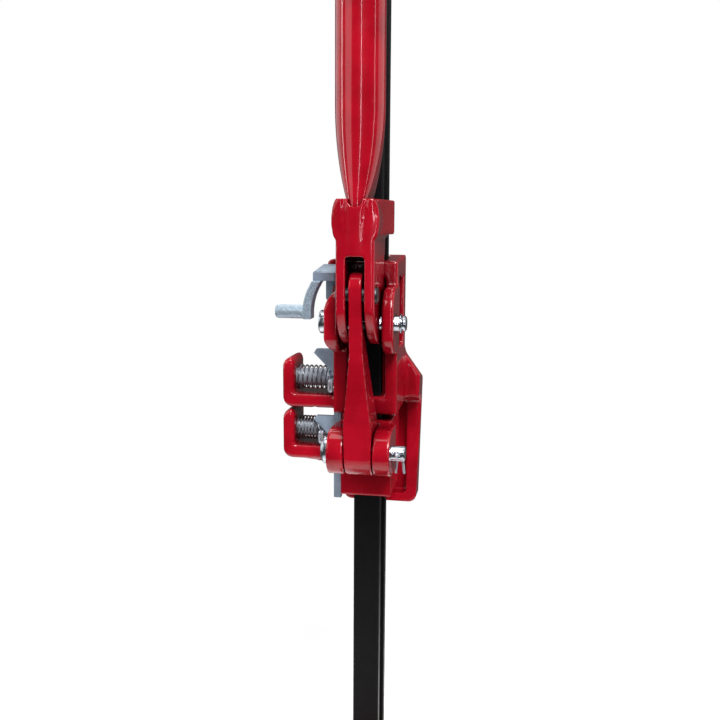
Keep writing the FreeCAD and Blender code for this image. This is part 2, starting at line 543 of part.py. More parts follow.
def make_climbing_pin(name, drop, out):
    """A sprung pin that locks a runner to the bar, with its washer, split pin and spring.

    out is how far the pin stands withdrawn from the bar.
    """
    height = "%s - %s" % (PIVOT, drop)

    def part_of(kind):
        body = piece(name + kind, height)
        body.setExpression("Placement.Base.x", bound("-" + out))
        return body

    pin = part_of("_climbing_pin")
    revolve(pin, "XZ", "H_Axis", [
        ("-pin_tail", "0"), ("-pin_tail", "pin_radius - pin_chamfer"),
        ("-pin_tail + pin_chamfer", "pin_radius"),
        ("pin_reach - pin_bevel", "pin_radius"), ("pin_reach", "pin_radius - pin_bevel"), ("pin_reach", "0")])
    cut(pin, "XZ", (("-cotter_at", "0"), "cotter_radius + seat_gap"), "-pin_radius * 2", "pin_radius * 2")

    seat = "(cotter_at + cotter_radius)"
    rim = "(%s + washer_thick)" % seat
    washer = part_of("_spring_washer")
    add(washer, "YZ", (("0", "0"), "washer_radius"), opposite(rim), opposite(seat))
    cut(washer, "YZ", (("0", "0"), "pin_radius + seat_gap"), opposite(rim + " + past"),
        opposite(seat + " - past"))

    cotter = part_of("_pin_cotter")
    front = "(latch_front + cotter_radius / 2)"
    add(cotter, "XZ", (("-cotter_at", "0"), "cotter_radius"), opposite(front), "pin_radius + cotter_radius")
    bent = [("-cotter_at - cotter_radius", "cotter_radius / 2"),
            ("-cotter_at + cotter_radius", "cotter_radius / 2"),
            ("-cotter_at + cotter_radius / 2", "-cotter_hook + cotter_radius"),
            ("-cotter_at - cotter_radius", "-cotter_hook")]
    add(cotter, "XZ", bent, opposite(front + " + cotter_radius"), opposite(front))

    spring = piece(name + "_climbing_spring", height)
    left = "(-hook_tip + hook_finger)"
    right = "(-%s - %s)" % (rim, out)
    wire = spring.newObject("PartDesign::AdditiveHelix", spring.Name + "_coil")
    section = hexagon("spring_wire", (left + " + spring_wire", "spring_radius"))
    wire.Profile = outline(spring, "XZ", "0", section)
    wire.ReferenceAxis = (wire.Profile[0], ["H_Axis"])
    wire.Mode = 2
    wire.setExpression("Height", bound("%s - %s - spring_wire * 2" % (right, left)))
    wire.setExpression("Turns", bound("spring_turns"))
    doc.recompute()


def make_reversing_bar():
    latch = piece("reversing_bar", PIVOT)
    front, back = "-latch_front", "-latch_front + latch_depth"
    strip = rectangle(opposite(LATCH_OUT), "-latch_foot", opposite(LATCH_IN), "latch_top")
    add(latch, "XZ", strip, front, back)
    top = "latch_top - latch_lip"
    lip = [("-lip_front", top), ("lip_rear", top), ("lip_rear", "latch_top + lip_lift"),
           ("-lip_front", "latch_top - lip_fall")]
    add(latch, "YZ", lip, "-lip_reach", opposite(LATCH_IN))
    brace = [(opposite(LATCH_OUT), top), ("-lip_reach + brace_in", top),
             ("-lip_reach + brace_in", "latch_top - brace_drop"),
             (opposite(LATCH_OUT), "latch_top - brace_low")]
    add(latch, "XZ", brace, front, back)
    # each tab's slope pushes a climbing pin's split pin out; the lower one rests against it
    root, reach = opposite(LATCH_OUT + " - past"), "(tab_reach - %s)" % LATCH_OUT
    for edge in ("-tab_upper", tab_edge()):
        tab = [("-tab_reach", edge), (root, "%s - %s - past" % (edge, reach)), (root, edge + " + tab_head"),
               ("-tab_reach + tab_bevel", edge + " + tab_head")]
        add(latch, "XZ", tab, front, front + " + tab_thick")
    rivet_at = ("-lip_reach + rivet_radius * 3 / 2", "-lip_front + rivet_radius * 2")
    cut(latch, "XY", (rivet_at, "rivet_radius + run_gap"), top + " - past", "latch_top + lip_lift")

    lever = piece("reversing_lever", PIVOT)
    low = "grip_height - grip_radius"
    arm = [("-lip_reach", top), ("-lip_reach + lever_width", top),
           ("-lip_reach + lever_width - lever_lean", low),
           ("-lip_reach - lever_lean", low), ("-lip_reach - lever_width", "grip_height + grip_radius")]
    depth = "lever_depth / 2"
    add(lever, "XZ", arm, "-lever_at - " + depth, "-lever_at + " + depth, {1: "lever_arc", 4: "-lever_arc"})
    add(lever, "YZ", (("-lever_at", "grip_height"), "grip_radius"), "-grip_end",
        "-lip_reach - lever_width / 2")
    tip = size("-grip_end")
    round_edges(lever, "grip_round", lambda box: same(box.XMax, tip))
    cut(lever, "XY", (rivet_at, "rivet_radius + run_gap"), top + " - rivet_depth", top + " + past")

    rivet = piece("lever_rivet", PIVOT)
    add(rivet, "XY", (rivet_at, "rivet_radius"), top + " - rivet_depth + seat_gap", "latch_top - lip_fall")


def tab_edge():
    """Height of the lower tab's outer corner, so that its slope just clears the withdrawn pin's split pin."""
    return "(-%s + tab_reach - cotter_at - pin_lift + (cotter_radius + side_gap) * sqrt(2))" % LOWER_PIN


def make_handle_socket():
    socket = piece("handle_socket", PIVOT)
    pivot_y = "-pivot_forward"
    arm = [("-socket_front", "socket_low + past"), ("-socket_front", "hub_round"), (pivot_y, "-hub_round"),
           (pivot_y + " + hub_round", "0"), ("-fork_back", "socket_low + past")]
    both_sides(add, socket, arm, "fork_inner", "fork_outer", {1: "fork_arc", 2: "hub_round"})
    half, shoulder = "socket_half", "socket_half - socket_bevel / 2"
    block = [("-fork_outer", "socket_low"), ("fork_outer", "socket_low"), ("fork_outer", "socket_chin"),
             (half, "socket_chin + socket_bevel / 2"), (half, "socket_top - socket_bevel"),
             (shoulder, "socket_top"),
             (opposite(shoulder), "socket_top"), (opposite(half), "socket_top - socket_bevel"),
             (opposite(half), "socket_chin + socket_bevel / 2"), ("-fork_outer", "socket_chin")]
    add(socket, "XZ", block, "-socket_front", "-socket_back", {3: "socket_arc", 7: "socket_arc"})
    lug = [("-socket_half", "-lug_front"), ("socket_half", "-lug_front"), ("lug_half", "-socket_back"),
           ("-lug_half", "-socket_back")]
    add(socket, "XY", lug, "lug_low", "socket_top")
    lug_x = size("lug_half")
    round_edges(socket, "lug_round", lambda box: same(abs(box.XMin), lug_x) and same(box.XLength, 0))
    # the front meets in a ridge, and opens at the top so that the tube's own ridge runs on into it
    far = "lug_half"
    for mark in ("", "-"):
        slant = [("0", "-socket_front - past"), ("0", "-socket_front"),
                 (mark + far, "-socket_front + socket_prow"),
                 (mark + far, "-socket_front - past")]
        cut(socket, "XY", slant, "-hub_round", "socket_top + past")
    cut(socket, "XY", oval("seat_gap"), "socket_top - handle_seat", "socket_top + past", OVAL_ARCS)
    lowest = "socket_top - notch_depth"
    notch = [("notch_half", "socket_top + past"), ("-notch_half", "socket_top + past"),
             ("-notch_half", lowest),
             ("notch_half", lowest)]
    cut(socket, "XZ", notch, "-socket_front - past", "-handle_forward", {2: "half"})
    cut(socket, "XZ", (("0", SCREW_Z), "screw_radius + run_gap"), "-socket_back - screw_reach",
        "-socket_back + past")
    cut(socket, "YZ", ((pivot_y, "0"), "pivot_radius + run_gap"), "-fork_outer - past", "fork_outer + past")
    crank = (("-pivot_forward - crank_forward", "crank_rise"), "crank_pin + run_gap")
    cut(socket, "YZ", crank, "-fork_outer - past", "fork_outer + past")


SCREW_Z = "(socket_top - handle_seat / 2)"
OVAL_ARCS = {0: "half", 2: "half"}
# on the way up from the flattened end to the round tube: share of the rise, share of the change in section
FLARE = [("0", "0"), ("0.13", "0.25"), ("0.28", "0.5"), ("0.52", "0.79"), ("0.78", "0.96"), ("1", "1")]


def oval(gap="0", wide="grip_flat", deep="grip_flat_depth"):
    """The flattened tube's section: straight sides and half-round ends."""
    half = "(%s / 2 + %s)" % (wide, gap)
    front = "(-handle_forward - %s / 2 + %s / 2)" % (deep, wide)
    back = "(-handle_forward + %s / 2 - %s / 2)" % (deep, wide)
    return [(opposite(half), front), (half, front), (half, back), (opposite(half), back)]


def make_handle():
    handle = piece("handle_tube", PIVOT)
    end, flare = "(socket_top - handle_seat)", "(socket_top + past)"
    add(handle, "XY", oval(), end, flare, OVAL_ARCS)
    tube, deep_tube = "(handle_tube_radius * 2)", "(handle_tube_radius * 2 + tube_oval)"
    sections = []
    for rise, share in FLARE:
        wide = "(grip_flat + (%s - grip_flat) * %s)" % (tube, share)
        deep = "(grip_flat_depth + (%s - grip_flat_depth) * %s)" % (deep_tube, share)
        height = "%s + handle_flare * %s" % (flare, rise)
        sections.append(outline(handle, "XY", height, oval("0", wide, deep), OVAL_ARCS))
    loft = handle.newObject("PartDesign::AdditiveLoft", "handle_tube_flare")
    loft.Profile = sections[0]
    loft.Sections = sections[1:]
    doc.recompute()
    top, bore = "(%s + handle_length)" % end, "handle_tube_radius - handle_wall"
    add(handle, "XY", oval("0", tube, deep_tube), flare + " + handle_flare", top, OVAL_ARCS)
    cut(handle, "XY", (("0", "-handle_forward"), bore), flare + " + handle_flare", top + " + past")
    screw_hole = (("0", SCREW_Z), "screw_radius + seat_gap")
    cut(handle, "XZ", screw_hole, "-socket_back - screw_reach - seat_gap", "-socket_back")

    plug = piece("handle_plug", PIVOT + " + " + top)
    plug.setExpression("Placement.Base.y", bound("-handle_forward"))
    revolve(plug, "XZ", "V_Axis", [
        ("0", "-plug_depth"), (bore + " - plug_lead / 2", "-plug_depth"), (bore, "-plug_depth + plug_lead"),
        (bore, "0"), ("handle_tube_radius", "0"), ("handle_tube_radius", "plug_lead"),
        ("handle_tube_radius - plug_lead", "plug_cap - plug_lead / 2"), ("0", "plug_cap")])

    screw = piece("socket_screw", PIVOT)
    add(screw, "XZ", hexagon("screw_head", ("0", SCREW_Z)), "-socket_back", "-socket_back + screw_head_thick")
    add(screw, "XZ", (("0", SCREW_Z), "screw_radius"), "-socket_back - screw_reach", "-socket_back")


def make_pitman():
    pitman = piece("pitman", PIVOT)
    eye_y, top_z = "(-pivot_forward - crank_forward)", "(crank_rise + link_top - link_eye)"
    low_y, low_z = "-step_forward", "(-step_drop)"
    side = [(eye_y + " - link_eye", top_z), (low_y + " - link_boss", low_z), (low_y + " + link_boss", low_z),
            (low_y + " + link_boss - link_ease", low_z + " + link_boss"),
            ("-pivot_forward - pivot_radius - link_ease", "-hub_round"), (eye_y + " + link_eye", top_z)]
    add(pitman, "YZ", side, "-link_half_low", "link_half_low", {1: "half", 5: "half"})
    # the link is slim beside the fork and swells towards its lower boss
    far, over = "(link_half_low + past)", "crank_rise + link_top + past"
    full = low_z + " + link_boss + link_swell"
    for mark in ("", "-"):
        waist = [(mark + "link_half_top", over), (mark + "link_half_top", "-hub_round - link_ease"),
                 (mark + "link_half_mid", "-link_mid_drop"), (mark + "link_half_low", full),
                 (mark + far, full), (mark + far, over)]
        cut(pitman, "XZ", waist, eye_y + " - link_eye * 2", low_y + " + link_boss * 2")
    crank = ((eye_y, "crank_rise"), "crank_pin + run_gap")
    cut(pitman, "YZ", crank, "-link_half_low", "link_half_low")
    # the lower hole is a short slot, since the link swings a little as the small runner keeps to the bar
    rise, rear = "(step_pin + link_lift)", "(-step_forward + link_slack * 2)"
    slot = [(low_y, low_z + " - " + rise), (rear, low_z + " - " + rise), (rear, low_z + " + " + rise),
            (low_y, low_z + " + " + rise)]
    cut(pitman, "YZ", slot, "-link_half_low - past", "link_half_low + past", {1: "half", 3: "half"})


make_rack_bar()
make_foot()
make_top_clamp()
make_large_runner()
make_small_runner()
make_pivot_pins()
make_climbing_pin("upper", "pin_drop", "0")
make_climbing_pin("lower", LOWER_PIN, "pin_lift")
make_reversing_bar()
make_handle_socket()
make_handle()
make_pitman()

doc.recompute()
for thing in doc.Objects:
    if "Invalid" in thing.State or "Error" in thing.State:
        raise RuntimeError("%s failed: %s" % (thing.Label, thing.State))
for body in pieces:
    if body.Shape.isNull() or not body.Shape.isValid() or not body.Shape.Solids:
        raise RuntimeError(body.Label + " has no sound solid")

os.makedirs("parts", exist_ok=True)
for body in pieces:
    body.Shape.exportStep("parts/%s.step" % body.Label)
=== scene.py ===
import json
import math

import bmesh
import bpy
from mathutils import Euler, Matrix, Vector


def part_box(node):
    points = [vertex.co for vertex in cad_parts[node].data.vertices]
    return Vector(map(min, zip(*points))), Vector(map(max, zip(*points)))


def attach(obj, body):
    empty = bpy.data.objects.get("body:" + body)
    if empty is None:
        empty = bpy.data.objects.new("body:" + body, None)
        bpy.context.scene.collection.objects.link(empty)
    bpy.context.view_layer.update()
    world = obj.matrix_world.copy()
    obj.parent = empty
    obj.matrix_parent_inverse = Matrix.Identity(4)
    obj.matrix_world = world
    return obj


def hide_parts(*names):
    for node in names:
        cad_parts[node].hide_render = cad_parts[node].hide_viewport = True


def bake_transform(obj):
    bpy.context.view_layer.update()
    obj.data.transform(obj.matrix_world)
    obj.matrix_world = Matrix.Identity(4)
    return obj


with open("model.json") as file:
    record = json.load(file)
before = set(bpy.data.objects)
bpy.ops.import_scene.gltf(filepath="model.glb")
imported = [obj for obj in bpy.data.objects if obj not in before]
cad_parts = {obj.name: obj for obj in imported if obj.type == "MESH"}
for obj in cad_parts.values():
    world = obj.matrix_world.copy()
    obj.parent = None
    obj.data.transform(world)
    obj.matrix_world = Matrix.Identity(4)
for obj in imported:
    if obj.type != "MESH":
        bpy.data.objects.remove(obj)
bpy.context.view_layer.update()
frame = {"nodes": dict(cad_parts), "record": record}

bl_info = {
    "name": "High-lift jack",
    "version": (1, 0, 0),
    "blender": (4, 5, 0),
    "location": "View3D > Sidebar > Jack",
    "description": "Finishes the castings, pins, springs and handle of a high-lift jack",
    "category": "Object",
}

RECORD = frame["record"]
BODY_OF = {node: body for body, nodes in RECORD["behaviour"]["bodies"].items() for node in nodes}
MM = 0.001
# turns what is made along Z to lie along X
ACROSS = Euler((0, math.pi / 2, 0))


class JackSizes(bpy.types.PropertyGroup):
    """Sizes that shape the finish of the jack's pieces"""

    grain: bpy.props.FloatProperty(
        name="Casting grain", description="Voxel size that the large castings are softened with",
        default=1.1 * MM, unit="LENGTH", precision=5)
    fine_grain: bpy.props.FloatProperty(
        name="Fine grain", description="Voxel size that the small castings are softened with",
        default=0.8 * MM, unit="LENGTH", precision=5)
    lever_grain: bpy.props.FloatProperty(
        name="Lever grain", description="Voxel size that the reversing lever is softened with",
        default=0.55 * MM, unit="LENGTH", precision=5)
    ease: bpy.props.IntProperty(
        name="Softening passes", description="How often a casting's edges are smoothed", default=7, min=0)
    rolled_edge: bpy.props.FloatProperty(
        name="Rolled edge", description="Edge radius of the rolled bar",
        default=0.9 * MM, unit="LENGTH", precision=5)
    turned_edge: bpy.props.FloatProperty(
        name="Turned edge", description="Edge radius of pins, washers and bolts",
        default=0.35 * MM, unit="LENGTH", precision=5)
    strip_edge: bpy.props.FloatProperty(
        name="Strip edge", description="Edge radius of the reversing bar",
        default=0.6 * MM, unit="LENGTH", precision=5)
    plug_edge: bpy.props.FloatProperty(
        name="Plug edge", description="Edge radius of the handle's plug",
        default=0.8 * MM, unit="LENGTH", precision=5)
    burr: bpy.props.FloatProperty(
        name="Punched rim", description="Radius of the raised rim round each punched hole",
        default=0.45 * MM, unit="LENGTH", precision=5)
    hole_radius: bpy.props.FloatProperty(
        name="Punched hole", description="Radius of the holes in the bar",
        default=8.5 * MM, unit="LENGTH", precision=5)
    hole_pitch: bpy.props.FloatProperty(
        name="Hole pitch", description="Distance between the holes in the bar",
        default=38 * MM, unit="LENGTH")
    hole_first: bpy.props.FloatProperty(
        name="First hole", description="Height of the lowest hole", default=18 * MM, unit="LENGTH")
    hole_count: bpy.props.IntProperty(
        name="Holes", description="Number of holes in the bar", default=32, min=1)
    web: bpy.props.FloatProperty(
        name="Web", description="Thickness of the bar between its flanges",
        default=6 * MM, unit="LENGTH", precision=5)
    flat_width: bpy.props.FloatProperty(
        name="Pinched width", description="Width of the handle tube where it is pinched flat",
        default=14 * MM, unit="LENGTH")
    flat_depth: bpy.props.FloatProperty(
        name="Pinched depth", description="Depth of the handle tube where it is pinched flat",
        default=35 * MM, unit="LENGTH")
    flare: bpy.props.FloatProperty(
        name="Flare", description="Height over which the pinched tube grows round",
        default=60 * MM, unit="LENGTH")
    nose_round: bpy.props.FloatProperty(
        name="Nose rounding", description="Radius of the nose's lower edges", default=5 * MM, unit="LENGTH")
    cheek_height: bpy.props.FloatProperty(
        name="Cheek height", description="How far the folds run down the socket's front",
        default=34 * MM, unit="LENGTH")
    cheek_depth: bpy.props.FloatProperty(
        name="Cheek depth", description="Depth of the folds beside the pinched tube",
        default=0.9 * MM, unit="LENGTH", precision=5)
    cheek_fold: bpy.props.FloatProperty(
        name="Cheek fold", description="Half width of the folds",
        default=1.2 * MM, unit="LENGTH", precision=5)
    tube_wall: bpy.props.FloatProperty(
        name="Tube wall", description="Wall of the handle tube", default=3 * MM, unit="LENGTH")
    spring_wire: bpy.props.FloatProperty(
        name="Spring wire", description="Radius of the springs' wire",
        default=0.65 * MM, unit="LENGTH", precision=5)
    spring_turns: bpy.props.FloatProperty(
        name="Spring turns", description="Turns of each spring", default=6.5)
    floor_reach: bpy.props.FloatProperty(
        name="Floor", description="Radius of the studio floor", default=0.6, unit="LENGTH")
    cotter_wire: bpy.props.FloatProperty(
        name="Split pin wire", description="Radius of a split pin's bent wire",
        default=0.88 * MM, unit="LENGTH", precision=5)
    cotter_eye: bpy.props.FloatProperty(
        name="Split pin eye", description="Outer radius of a split pin's eye",
        default=3.4 * MM, unit="LENGTH", precision=5)


class JackColours(bpy.types.PropertyGroup):
    """Colours of the jack's finishes"""

    enamel: bpy.props.FloatVectorProperty(
        name="Enamel", description="Red enamel on the castings and the handle", subtype="COLOR",
        size=3, min=0, max=1, default=(0.56, 0.004, 0.020))
    enamel_deep: bpy.props.FloatVectorProperty(
        name="Deep enamel", description="Enamel where it lies thick", subtype="COLOR",
        size=3, min=0, max=1, default=(0.40, 0.002, 0.012))
    black: bpy.props.FloatVectorProperty(
        name="Bar black", description="Satin paint on the bar", subtype="COLOR",
        size=3, min=0, max=1, default=(0.0012, 0.0013, 0.0018))
    zinc: bpy.props.FloatVectorProperty(
        name="Zinc", description="Bright plating on pins and springs", subtype="COLOR",
        size=3, min=0, max=1, default=(0.66, 0.72, 0.79))
    spangle: bpy.props.FloatVectorProperty(
        name="Spangle", description="Galvanised reversing lever", subtype="COLOR",
        size=3, min=0, max=1, default=(0.45, 0.57, 0.67))
    # painted shade: the plated pin inside the fork is given a dark colour to stand for the shade there
    shaded_pin: bpy.props.FloatVectorProperty(
        name="Shaded pin steel", description="Pin inside the fork", subtype="COLOR",
        size=3, min=0, max=1, default=(0.14, 0.14, 0.15))
    strip: bpy.props.FloatVectorProperty(
        name="Strip", description="Dull steel of the reversing bar", subtype="COLOR",
        size=3, min=0, max=1, default=(0.34, 0.44, 0.55))
    plug: bpy.props.FloatVectorProperty(
        name="Plug", description="Plastic cap in the handle's end", subtype="COLOR",
        size=3, min=0, max=1, default=(0.012, 0.012, 0.012))
    floor: bpy.props.FloatVectorProperty(
        name="Floor", description="Pale studio floor", subtype="COLOR",
        size=3, min=0, max=1, default=(0.93, 0.93, 0.93))


def sizes():
    return bpy.context.scene.jack_sizes


def colours():
    return bpy.context.scene.jack_colours


def new_object(name, mesh):
    thing = bpy.data.objects.new(name, mesh)
    bpy.context.scene.collection.objects.link(thing)
    return thing


def node_copy(node, name):
    """A copy of a CAD node's mesh whose loose triangles are joined into flat faces."""
    source = frame["nodes"][node].data
    touching = 0.001 * MM
    flat = math.radians(0.5)
    mesh = bpy.data.meshes.new(name)
    mesh.from_pydata([v.co for v in source.vertices], [], [p.vertices for p in source.polygons])
    form = bmesh.new()
    form.from_mesh(mesh)
    bmesh.ops.remove_doubles(form, verts=form.verts, dist=touching)
    bmesh.ops.dissolve_limit(form, angle_limit=flat, verts=form.verts, edges=form.edges)
    form.to_mesh(mesh)
    form.free()
    return new_object(name, mesh)


def settle(thing):
    """Turns the object's modifiers into its own plain mesh."""
    shaped = thing.evaluated_get(bpy.context.evaluated_depsgraph_get())
    mesh = bpy.data.meshes.new_from_object(shaped)
    old = thing.data
    thing.modifiers.clear()
    thing.data = mesh
    mesh.name = thing.name
    bpy.data.meshes.remove(old)


def dress(thing, material):
    thing.data.materials.clear()
    thing.data.materials.append(material)


def stand_for(thing, node):
    """The finished piece takes the CAD node's place and body."""
    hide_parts(node)
    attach(thing, BODY_OF[node])


def soften(thing, grain, keep):
    """Rounds every edge and corner of a casting as moulding sand and enamel do."""
    remesh = thing.modifiers.new("grain", "REMESH")
    remesh.mode = "VOXEL"
    remesh.voxel_size = grain
    smooth = thing.modifiers.new("ease", "SMOOTH")
    smooth.factor = 0.5
    smooth.iterations = sizes().ease
    thin = thing.modifiers.new("thin", "DECIMATE")
    thin.ratio = keep
    settle(thing)
    thing.data.shade_smooth()


def ease_edges(thing, width, segments=2):
    """Rounds the sharp edges of a machined piece."""
    rounded_from, creased_from = math.radians(32), math.radians(40)
    bevel = thing.modifiers.new("edges", "BEVEL")
    bevel.width = width
    bevel.segments = segments
    bevel.limit_method = "ANGLE"
    bevel.angle_limit = rounded_from
    settle(thing)
    thing.data.shade_smooth()
    thing.data.set_sharp_from_angle(angle=creased_from)


def tinted(colour, share, lift=0.0):
    """A lighter or darker shade of a colour."""
    return tuple(min(1, c * share + lift) for c in colour)


class Finish:
    """A material under construction: a shader and textures on the object's own coordinates."""

    def __init__(self, name):
        self.material = bpy.data.materials.new(name)
        self.material.use_nodes = True
        self.tree = self.material.node_tree
        self.shader = self.tree.nodes["Principled BSDF"]
        self.place = self.node("ShaderNodeTexCoord").outputs["Object"]
        self.surface = None

    def node(self, kind, **values):
        made = self.tree.nodes.new(kind)
        for name, value in values.items():
            if hasattr(made, name):
                setattr(made, name, value)
            else:
                made.inputs[name.replace("_", " ").title()].default_value = value
        return made

    def join(self, output, target):
        self.tree.links.new(output, target)

    def noise(self, scale, detail=2.0, roughness=0.5):
        made = self.node("ShaderNodeTexNoise", scale=scale, detail=detail, roughness=roughness)
        self.join(self.place, made.inputs["Vector"])
        return made.outputs["Fac"]

    def cells(self, scale):
        made = self.node("ShaderNodeTexVoronoi", scale=scale)
        self.join(self.place, made.inputs["Vector"])
        return made

    def spread(self, value, low, high, start=0.0, end=1.0):
        made = self.node("ShaderNodeMapRange")
        self.join(value, made.inputs["Value"])
        for name, number in (("From Min", start), ("From Max", end), ("To Min", low), ("To Max", high)):
            made.inputs[name].default_value = number
        return made.outputs["Result"]

    def blend(self, share, first, second):
        """Mixes two colours; each is a colour or another node's output."""
        made = self.node("ShaderNodeMix", data_type="RGBA")
        self.join(share, made.inputs["Factor"])
        for socket, colour in ((made.inputs[6], first), (made.inputs[7], second)):
            if isinstance(colour, bpy.types.NodeSocket):
                self.join(colour, socket)
            else:
                socket.default_value = (*colour, 1)
        return made.outputs[2]

    def paint(self, share, first, second):
        """Mixes the base colour of two."""
        self.join(self.blend(share, first, second), self.shader.inputs["Base Color"])

    def sheen(self, scale, detail, smooth, rough):
        """Lets the roughness drift between two values over the surface."""
        drift = self.spread(self.noise(scale, detail), smooth, rough)
        self.join(drift, self.shader.inputs["Roughness"])

    def bump(self, height, depth, strength=1.0):
        made = self.node("ShaderNodeBump")
        made.inputs["Distance"].default_value = depth
        made.inputs["Strength"].default_value = strength
        self.join(height, made.inputs["Height"])
        if self.surface:
            self.join(self.surface, made.inputs["Normal"])
        self.surface = made.outputs["Normal"]
        self.join(self.surface, self.shader.inputs["Normal"])

    def set(self, **values):
        for name, value in values.items():
            self.shader.inputs[name.replace("_", " ")].default_value = value

    def away(self, axis):
        """Distance from the middle plane across one axis."""
        parts = self.node("ShaderNodeSeparateXYZ")
        self.join(self.place, parts.inputs[0])
        size = self.node("ShaderNodeMath", operation="ABSOLUTE")
        self.join(parts.outputs[axis], size.inputs[0])
        return size.outputs[0]

    def edges(self):
        """How far a point stands on a raised edge, from the mesh's own curvature."""
        return self.node("ShaderNodeNewGeometry").outputs["Pointiness"]


def enamel_finish():
    """Glossy stoved enamel: pooled colour, painted shade darkening it in the nooks, orange peel and an
    uneven casting below.
    """
    finish = Finish("red_enamel")
    tone = colours()
    pooled = finish.spread(finish.noise(42, 3), 0, 1, start=0.35, end=0.68)
    colour = finish.blend(pooled, tone.enamel, tone.enamel_deep)
    # painted shade: ambient occlusion darkens the enamel to near black in recesses and between parts
    nook = finish.node("ShaderNodeAmbientOcclusion", samples=8, distance=34 * MM)
    painted_recess_shade = finish.spread(nook.outputs["AO"], 0.95, 0, start=0.14, end=0.88)
    colour = finish.blend(painted_recess_shade, colour, tinted(tone.enamel_deep, 0.12))
    raised = finish.spread(finish.edges(), 0, 0.4, start=0.53, end=0.62)
    finish.paint(raised, colour, tinted(tone.enamel, 1.2, lift=0.004))
    finish.sheen(160, 4, smooth=0.16, rough=0.34)
    finish.set(Coat_Weight=0.85, Coat_Roughness=0.06, Specular_IOR_Level=0.15)
    finish.bump(finish.noise(55, 2), 0.9 * MM, 0.5)
    finish.bump(finish.noise(520, 2), 0.06 * MM, 0.5)
    return finish.material


def bar_finish():
    """Satin black paint on rolled steel, greyer along the flange edges as rub wear and a painted highlight.
    """
    finish = Finish("bar_black")
    black = colours().black
    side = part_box("rack_bar")[1].x
    # the flange edges are painted greyer, partly rub wear and partly a painted highlight along the edge
    rubbed_and_highlit_edge = finish.spread(finish.away("X"), 0, 1, start=side - 1.0 * MM, end=side - 0.2 * MM)
    scuffed = finish.spread(finish.noise(90, 5, 0.7), 0, 0.8, start=0.52, end=0.75)
    grey = tinted(black, 2, lift=0.0015)
    finish.paint(rubbed_and_highlit_edge, finish.blend(scuffed, black, grey), tinted(grey, 1, lift=0.006))
    finish.sheen(240, 4, smooth=0.34, rough=0.52)
    finish.set(Specular_IOR_Level=0.14)
    finish.bump(finish.noise(700, 3), 0.10 * MM, 0.5)
    finish.bump(finish.noise(60, 2), 0.4 * MM, 0.3)
    return finish.material


def zinc_finish():
    """Bright zinc plate with a fine grain and a few dull patches."""
    finish = Finish("zinc_plate")
    zinc = colours().zinc
    dull = finish.spread(finish.noise(190, 4, 0.6), 0, 1, start=0.45, end=0.75)
    finish.paint(dull, zinc, tinted(zinc, 0.62))
    finish.sheen(420, 3, smooth=0.12, rough=0.34)
    finish.set(Metallic=1.0)
    finish.bump(finish.noise(900, 2), 0.05 * MM, 0.4)
    return finish.material


def pale_finish():
    """Pale dull zinc on bent wire and on the climbing pins."""
    finish = Finish("zinc_pale")
    zinc = tinted(colours().zinc, 1.15)
    drawn = finish.spread(finish.noise(300, 3, 0.6), 0, 1, start=0.4, end=0.75)
    finish.paint(drawn, zinc, tinted(zinc, 0.7))
    finish.sheen(500, 3, smooth=0.32, rough=0.5)
    finish.set(Metallic=0.6)
    finish.bump(finish.noise(900, 2), 0.05 * MM, 0.4)
    return finish.material


def spring_finish():
    """Spring steel, darker than the plated pins that it is wound round."""
    finish = Finish("spring_steel")
    steel = tinted(colours().zinc, 0.5)
    drawn = finish.spread(finish.noise(260, 3, 0.6), 0, 1, start=0.4, end=0.75)
    finish.paint(drawn, steel, tinted(steel, 0.6))
    finish.sheen(450, 3, smooth=0.22, rough=0.4)
    finish.set(Metallic=1.0)
    finish.bump(finish.noise(900, 2), 0.04 * MM, 0.4)
    return finish.material


def shaded_pin_finish():
    """Steel of the pin inside the fork, painted dark as the shade inside the fork."""
    finish = Finish("shaded_pin_steel")
    steel = colours().shaded_pin
    smear = finish.spread(finish.noise(170, 4, 0.6), 0, 1, start=0.4, end=0.7)
    finish.paint(smear, steel, tinted(steel, 0.5))
    finish.sheen(380, 3, smooth=0.30, rough=0.48)
    finish.set(Metallic=1.0)
    finish.bump(finish.noise(800, 2), 0.05 * MM, 0.4)
    return finish.material


def spangle_finish():
    """Hot-dip galvanised casting: crystals of lighter and darker zinc over a rough skin."""
    finish = Finish("galvanised_lever")
    pale = colours().spangle
    crystals = finish.spread(finish.cells(1150).outputs["Color"], 0, 1)
    finish.paint(crystals, tinted(pale, 0.68), tinted(pale, 1.3))
    finish.sheen(300, 4, smooth=0.34, rough=0.55)
    finish.set(Metallic=0.55)
    finish.bump(finish.noise(620, 4, 0.65), 0.24 * MM, 0.6)
    return finish.material


def strip_finish():
    """Flat bluish steel strip with a drawn grain."""
    finish = Finish("reversing_strip")
    steel = colours().strip
    streaks = finish.spread(finish.noise(140, 5, 0.6), 0, 1, start=0.35, end=0.7)
    finish.paint(streaks, tinted(steel, 0.85), tinted(steel, 1.2))
    finish.sheen(350, 3, smooth=0.38, rough=0.55)
    finish.set(Metallic=0.3)
    finish.bump(finish.noise(800, 3), 0.08 * MM, 0.5)
    return finish.material


def plug_finish():
    """Matt moulded plastic."""
    finish = Finish("plug_black")
    black = colours().plug
    finish.paint(finish.noise(200, 3), black, tinted(black, 2))
    finish.sheen(500, 2, smooth=0.62, rough=0.8)
    finish.set(Specular_IOR_Level=0.2)
    finish.bump(finish.noise(1200, 2), 0.06 * MM, 0.5)
    return finish.material


MAKERS = {
    "enamel": enamel_finish, "bar": bar_finish, "zinc": zinc_finish, "pale": pale_finish,
    "spring": spring_finish, "shaded_pin": shaded_pin_finish, "spangle": spangle_finish, "strip": strip_finish,
    "plug": plug_finish,
}
made_finishes = {}


def finish_of(kind):
    if kind not in made_finishes:
        made_finishes[kind] = MAKERS[kind]()
    return made_finishes[kind]


